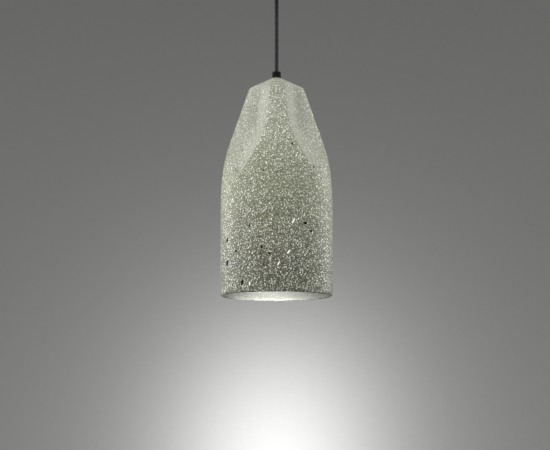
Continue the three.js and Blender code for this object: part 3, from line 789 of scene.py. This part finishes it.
def make_cup_screw(name, side, material):
    """A slotted round-head screw through the side of the cup."""
    low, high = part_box(name)
    middle = (low + high) / 2
    tip = min(abs(low.x), abs(high.x))
    head_top = max(abs(low.x), abs(high.x))
    head_radius = (high.z - low.z) / 2
    seat = head_top - 2.3 * MM
    corners = [
        (0, tip, 0),
        (1.6 * MM, tip, 0.3 * MM),
        (1.9 * MM, tip + 0.8 * MM, 0.3 * MM),
        (1.9 * MM, seat, 0.1 * MM),
        (head_radius, seat, 0.3 * MM),
        (head_radius, head_top - 1.2 * MM, 0.8 * MM),
        (head_radius * 0.6, head_top, 1.0 * MM),
        (0, head_top, 0),
    ]
    piece = turned(name + "_piece", rounded(corners, 0.3 * MM, 6), 64)
    half = 0.5 * MM
    slot = block((-half, -2 * head_radius, head_top - 0.9 * MM), (half, 2 * head_radius, head_top + 1 * MM))
    cut_away(piece, slot)
    turn = Matrix.Rotation(side * math.pi / 2, 4, "Y")
    piece.data.transform(Matrix.Translation((0, 0, middle.z)) @ turn)
    sharpen(piece, 40)
    place_piece(piece, material, "rose", "rose_paint", name)


def make_outlet(material):
    """The moulded cord outlet under the cup, its edge rounded, with a hole for the clamp screw."""
    bottom, top = OUTLET_LOW.z, OUTLET_HIGH.z
    outer = OUTLET_HIGH.x
    flange = CUP_LOW.z - GAP
    socket = 5.9 * MM
    socket_top = SWING_LEVEL + 4.6 * MM
    corners = [
        (CORD_BORE, top, 0.2 * MM),
        (5 * MM, top, 0.4 * MM),
        (5 * MM, flange, 0.2 * MM),
        (outer, flange, 0.4 * MM),
        (outer, bottom, 2.2 * MM),
        (socket, bottom, 0.5 * MM),
        (socket, socket_top, 0.5 * MM),
        (CORD_BORE, socket_top, 0.3 * MM),
    ]
    piece = turned("outlet", rounded(corners, 0.3 * MM, 6), 96)
    low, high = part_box("outlet_clamp_screw")
    level = (low.z + high.z) / 2
    cut_away(piece, rod(1.6 * MM, (0, CORD_RADIUS, level), (0, 2 * outer, level)))
    sharpen(piece, 40)
    place_piece(piece, material, "rose", "black_plastic", "cord_outlet")


def make_bush(material):
    """A ball-sided rubber ring round the cord; its bore flares both ways."""
    low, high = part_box("exit_bush")
    ball = high.x
    half = (high.z - low.z) / 2
    flare = CORD_RADIUS + 1.3 * MM
    profile = []
    steps = 12
    for i in range(steps + 1):
        height = half * (2 * i / steps - 1)
        profile.append((math.sqrt(ball * ball - height * height), SWING_LEVEL + height))
    for i in range(steps + 1):
        share = 1 - 2 * i / steps
        reach = CORD_BORE + (flare - CORD_BORE) * abs(share) ** 1.2
        profile.append((reach, SWING_LEVEL + half * share))
    piece = turned("swing_bush", profile, 72)
    sharpen(piece, 50)
    place_piece(piece, material, "bush", "rubber", "exit_bush")


# The lampholder

HOLDER_CAP_LOW, HOLDER_CAP_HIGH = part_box("holder_cap")
HOLDER_SHELL_LOW, HOLDER_SHELL_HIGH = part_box("holder_shell")
HOLDER_RADIUS = HOLDER_CAP_HIGH.x


def make_holder_cap(material):
    top, bottom = HOLDER_CAP_HIGH.z, HOLDER_CAP_LOW.z
    outer = HOLDER_RADIUS
    inner = outer - 1.4 * MM
    corners = [
        (TUBE_HOLE * MM, top, 0.3 * MM),
        (7.5 * MM, top, 0.8 * MM),
        (8.2 * MM, top - 3 * MM, 1.0 * MM),
        (13 * MM, top - 5.2 * MM, 1.5 * MM),
        (17 * MM, top - 8.7 * MM, 1.8 * MM),
        (outer, top - 14 * MM, 2.0 * MM),
        (outer, bottom, 0.5 * MM),
        (inner, bottom, 0.3 * MM),
        (inner, top - 14 * MM, 1.5 * MM),
        (15.8 * MM, top - 10 * MM, 1.2 * MM),
        (12.4 * MM, top - 7 * MM, 1.0 * MM),
        (TUBE_HOLE * MM, top - 6 * MM, 0.3 * MM),
    ]
    piece = turned("lampholder_cap", rounded(corners, 0.3 * MM, 5), 144)
    sharpen(piece, 40)
    place_piece(piece, material, "lamp", "black_plastic", "holder_cap")


def make_holder_shell(material):
    """The lower half of the lampholder, ribbed so that it can be gripped."""
    top, bottom = HOLDER_SHELL_HIGH.z, HOLDER_SHELL_LOW.z
    outer = HOLDER_RADIUS
    corners = [
        (16.6 * MM, top, 0.3 * MM),
        (outer, top, 0.5 * MM),
        (outer, top - 3 * MM, 0.2 * MM),
        (outer, top - 3.4 * MM, 0.2 * MM),
        (outer, bottom + 5 * MM, 0.2 * MM),
        (outer, bottom + 4.6 * MM, 0.2 * MM),
        (outer, bottom, 1.4 * MM),
        (15 * MM, bottom, 0.5 * MM),
        (15 * MM, bottom + 2 * MM, 0.5 * MM),
        (16.6 * MM, bottom + 3 * MM, 0.5 * MM),
    ]
    profile = rounded(corners, 0.3 * MM, 4)
    ribbed = [i for i, point in enumerate(profile) if bottom + 4.9 * MM < point[1] < top - 3.3 * MM]
    ribbed = [i for i in ribbed if profile[i][0] > outer - 0.1 * MM]
    piece = turned("lampholder_shell", profile, 360, ribs=60, rib_depth=0.5 * MM, ribbed=ribbed)
    sharpen(piece, 40)
    place_piece(piece, material, "lamp", "black_plastic", "holder_shell")


# The bulb

HOUSING_LOW, HOUSING_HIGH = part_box("bulb_housing")
SCREW_SHELL_LOW, SCREW_SHELL_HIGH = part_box("bulb_screw_shell")
THREAD_PITCH = 3.62 * MM


def make_globe(material):
    """The opal lower half of the bulb: a deep bowl with its neck in the housing."""
    top, bottom = BULB_HIGH.z, BULB_LOW.z
    outer = BULB_HIGH.x
    wall = 1.2 * MM
    widest = bottom + 34 * MM
    neck = outer - 0.8 * MM
    steps = 28

    def bowl(radius, depth, mouth):
        points = [(mouth, top), ((radius + mouth) / 2 + 0.2 * MM, (top + widest) / 2)]
        for i in range(steps + 1):
            angle = math.radians(90 * i / steps)
            reach = 0 if i == steps else radius * math.cos(angle)
            points.append((reach, widest - depth * math.sin(angle)))
        return points

    profile = bowl(outer, widest - bottom, neck)
    profile += reversed(bowl(outer - wall, widest - bottom - wall, neck - wall))
    piece = turned("bulb_opal_globe", profile, 144)
    sharpen(piece, 50)
    place_piece(piece, material, "bulb", "opal_globe", "bulb_globe")


def make_housing(material):
    """The white collar of the bulb, flaring from the screw cap to the globe."""
    top, bottom = HOUSING_HIGH.z, HOUSING_LOW.z
    wall = 1.5 * MM
    shoulders = [(13.4, 0), (14.6, 3), (19.6, 13), (26.4, 25)]
    corners = [(radius * MM, top - depth * MM, 3.5 * MM) for radius, depth in shoulders]
    corners[0] = (13.4 * MM, top, 0.3 * MM)
    corners.append((29.4 * MM, bottom, 0.3 * MM))
    inside = [(radius - wall, height, cut) for radius, height, cut in reversed(corners)]
    piece = turned("bulb_collar", rounded(corners + inside, 0.3 * MM, 7), 144)
    sharpen(piece, 50)
    place_piece(piece, material, "bulb", "white_plastic", "bulb_housing")


def make_screw_cap(material):
    """The bulb's cap with its rolled thread, a real helix."""
    top, bottom = SCREW_SHELL_HIGH.z, SCREW_SHELL_LOW.z
    columns = 72
    rows = []

    def ring(radius, height):
        angles = [2 * math.pi * j / columns for j in range(columns)]
        return [(radius * math.cos(a), radius * math.sin(a), height) for a in angles]

    rows.append(ring(9.6 * MM, top))
    rows.append(ring(11.6 * MM, top - 0.3 * MM))
    start, end = top - 0.9 * MM, bottom + 0.6 * MM
    steps = 84
    for i in range(steps + 1):
        height = start + (end - start) * i / steps
        fade = min((start - height) / (2 * MM), (height - end) / (2.2 * MM), 1)
        row = []
        for j in range(columns):
            angle = 2 * math.pi * j / columns
            wave = math.cos(2 * math.pi * height / THREAD_PITCH - angle)
            radius = (12.5 + 0.45 * wave * max(fade, 0) + 0.1 * fade) * MM
            row.append((radius * math.cos(angle), radius * math.sin(angle), height))
        rows.append(row)
    rows.append(ring(12.9 * MM, bottom + 0.4 * MM))
    rows.append(ring(12.9 * MM, bottom))
    rows.append(ring(11.6 * MM, bottom))
    rows.append(ring(11.6 * MM, top - 1.4 * MM))
    rows.append(ring(9.6 * MM, top - 0.6 * MM))
    vertices, faces = loft(rows)
    piece = new_piece("bulb_screw_cap", vertices, faces)
    weld(piece)
    sharpen(piece, 60)
    place_piece(piece, material, "bulb", "nickel", "bulb_screw_shell")


# Stage and light

FLOOR_LEVEL = RIM - 1.6
STAGE_REACH = 9.0
BACKDROP_Y = 2.7
BACKDROP_TOP = 4.0


def make_stage():
    reach = STAGE_REACH
    corners = [(-reach, -reach, FLOOR_LEVEL), (reach, -reach, FLOOR_LEVEL)]
    corners += [(reach, reach, FLOOR_LEVEL), (-reach, reach, FLOOR_LEVEL)]
    floor = new_piece("floor", corners, [(0, 1, 2, 3)], smooth=False)
    paint = Nodes("floor_paint")
    tone = paint.span(paint.noise(1.5, 2.0).outputs["Fac"], 0.3, 0.7)
    colour = paint.mix(tone, (0.60, 0.60, 0.59), (0.66, 0.66, 0.65))
    floor.data.materials.append(paint.finish(Base_Color=colour, Roughness=0.8))
    corners = [(-reach, BACKDROP_Y, FLOOR_LEVEL), (reach, BACKDROP_Y, FLOOR_LEVEL)]
    corners += [(reach, BACKDROP_Y, BACKDROP_TOP), (-reach, BACKDROP_Y, BACKDROP_TOP)]
    wall = new_piece("backdrop", corners, [(0, 1, 2, 3)], smooth=False)
    wall.data.materials.append(backdrop_paint())


# The backdrop's glow: its level and slope, and the middle of the painted pool of light on it (m)
POOL_MIDDLE = 0.095
POOL_LEVEL = -0.729
PAPER_LEVEL = 0.163
PAPER_SLOPE = -0.042


def backdrop_paint():
    """A grey paper that glows evenly, with a painted pool of light low behind the lamp."""
    nodes = Nodes("backdrop_paper")
    parts = nodes.node("SeparateXYZ", {0: nodes.place}).outputs

    def falloff(value, middle, width, power):
        away = nodes.math("ABSOLUTE", nodes.math("SUBTRACT", value, middle))
        return nodes.math("POWER", nodes.math("DIVIDE", away, width), power)

    def painted_pool(gain, across, down):
        both = nodes.math(
            "ADD",
            falloff(parts[0], POOL_MIDDLE, *across),
            falloff(parts[2], POOL_LEVEL, *down),
        )
        return nodes.math("MULTIPLY", nodes.math("EXPONENT", nodes.math("MULTIPLY", both, -1)), gain)

    base = nodes.math("MULTIPLY_ADD", parts[2], PAPER_SLOPE, PAPER_LEVEL)
    bright = painted_pool(0.66, (0.27, 1.93), (0.414, 2.37))
    wide = painted_pool(0.21, (0.545, 2.0), (0.64, 2.0))
    glow = nodes.math("ADD", nodes.math("ADD", base, bright), wide)
    grain = nodes.span(nodes.noise(60, 3.0).outputs["Fac"], 0.2, 0.8, 0.985, 1.015)
    glow = nodes.math("MULTIPLY", glow, grain)
    nodes.finish(Base_Color=(0.0, 0.0, 0.0), Roughness=1.0, Specular_IOR_Level=0.0)
    return nodes.finish(Emission_Color=(1.0, 1.0, 0.985), Emission_Strength=glow)


def area_light(name, place, aim, width, height, power):
    data = bpy.data.lights.new(name, "AREA")
    data.shape = "RECTANGLE"
    data.size = width
    data.size_y = height
    data.energy = power
    light = bpy.data.objects.new(name, data)
    light.location = place
    light.rotation_euler = (Vector(aim) - Vector(place)).to_track_quat("-Z", "Y").to_euler()
    bpy.context.scene.collection.objects.link(light)
    light.visible_camera = False


# Soft boxes round the lamp, all facing its middle: degrees to the right of the front, degrees
# above level, width, height (m) and watts
LIGHT_DISTANCE = 1.5
SOFT_BOXES = {
    "left_side_high": (-90, 45, 0.8, 0.8, 12.3),
    "right_side_high": (90, 45, 0.8, 0.8, 8.8),
    "left_high": (-30, 45, 0.8, 0.8, 10.6),
    "right_high": (30, 45, 0.8, 0.8, 10.8),
    "top": (0, 75, 0.8, 0.8, 5.0),
    "left_rear": (-115, 3, 0.8, 1.2, 20.0),
    "right_rear": (115, 3, 0.8, 1.2, 15.5),
    "left_side": (-60, 3, 0.8, 1.2, 12.8),
    "right_side": (60, 3, 0.8, 1.2, 6.6),
    "front_fill": (10, 3, 0.8, 1.2, 2.6),
    "floor_bounce": (0, -88, 0.9, 0.9, 2.2),
}


# A small light under the rim, which brightens the back of the shade's inside
RIM_GLOW_PLACE = Vector((-0.004, 0.035, RIM - 0.022))
RIM_GLOW_AIM = Vector((-0.004, SHADE_HIGH.y, RIM + 0.004))
RIM_GLOW_SIZE = 0.02
RIM_GLOW_POWER = 0.06


def make_lights():
    middle = Vector((0, 0, (SHADE_TOP + RIM) / 2))
    for name, (turn, lift, width, height, power) in SOFT_BOXES.items():
        turn, lift = math.radians(turn), math.radians(lift)
        way = Vector((math.sin(turn) * math.cos(lift), -math.cos(turn) * math.cos(lift), math.sin(lift)))
        area_light(name, middle + way * LIGHT_DISTANCE, middle, width, height, power)
    size = RIM_GLOW_SIZE
    area_light("rim_glow", RIM_GLOW_PLACE, RIM_GLOW_AIM, size, size, RIM_GLOW_POWER)
    world = bpy.data.worlds.new("soft_grey")
    world.use_nodes = True
    background = world.node_tree.nodes["Background"]
    background.inputs["Color"].default_value = (0.42, 0.42, 0.415, 1)
    background.inputs["Strength"].default_value = 0.1
    bpy.context.scene.world = world
    bpy.context.scene.view_settings.view_transform = "Standard"


def dress_frame(materials):
    """Every CAD node gets its slot's material."""
    slots = {row["node"]: row["material_slot"] for row in frame["record"]["subparts"]}
    for name, node in frame["nodes"].items():
        node.data.materials.clear()
        node.data.materials.append(materials[slots[name]])
        sharpen(node, 50)


make_camera()
materials = make_materials()
make_cord(materials["cord_sheath"])
dress_frame(materials)
make_shade(materials["terrazzo"], materials["cast_face"])
make_collar(materials["black_plastic"])
make_gasket(materials["rubber"])
make_cup(materials["rose_paint"])
make_cup_screw("canopy_screw_right", 1, materials["rose_paint"])
make_cup_screw("canopy_screw_left", -1, materials["rose_paint"])
make_outlet(materials["black_plastic"])
make_bush(materials["rubber"])
make_holder_cap(materials["black_plastic"])
make_holder_shell(materials["black_plastic"])
make_globe(materials["opal_globe"])
make_housing(materials["white_plastic"])
make_screw_cap(materials["nickel"])
make_stage()
make_lights()
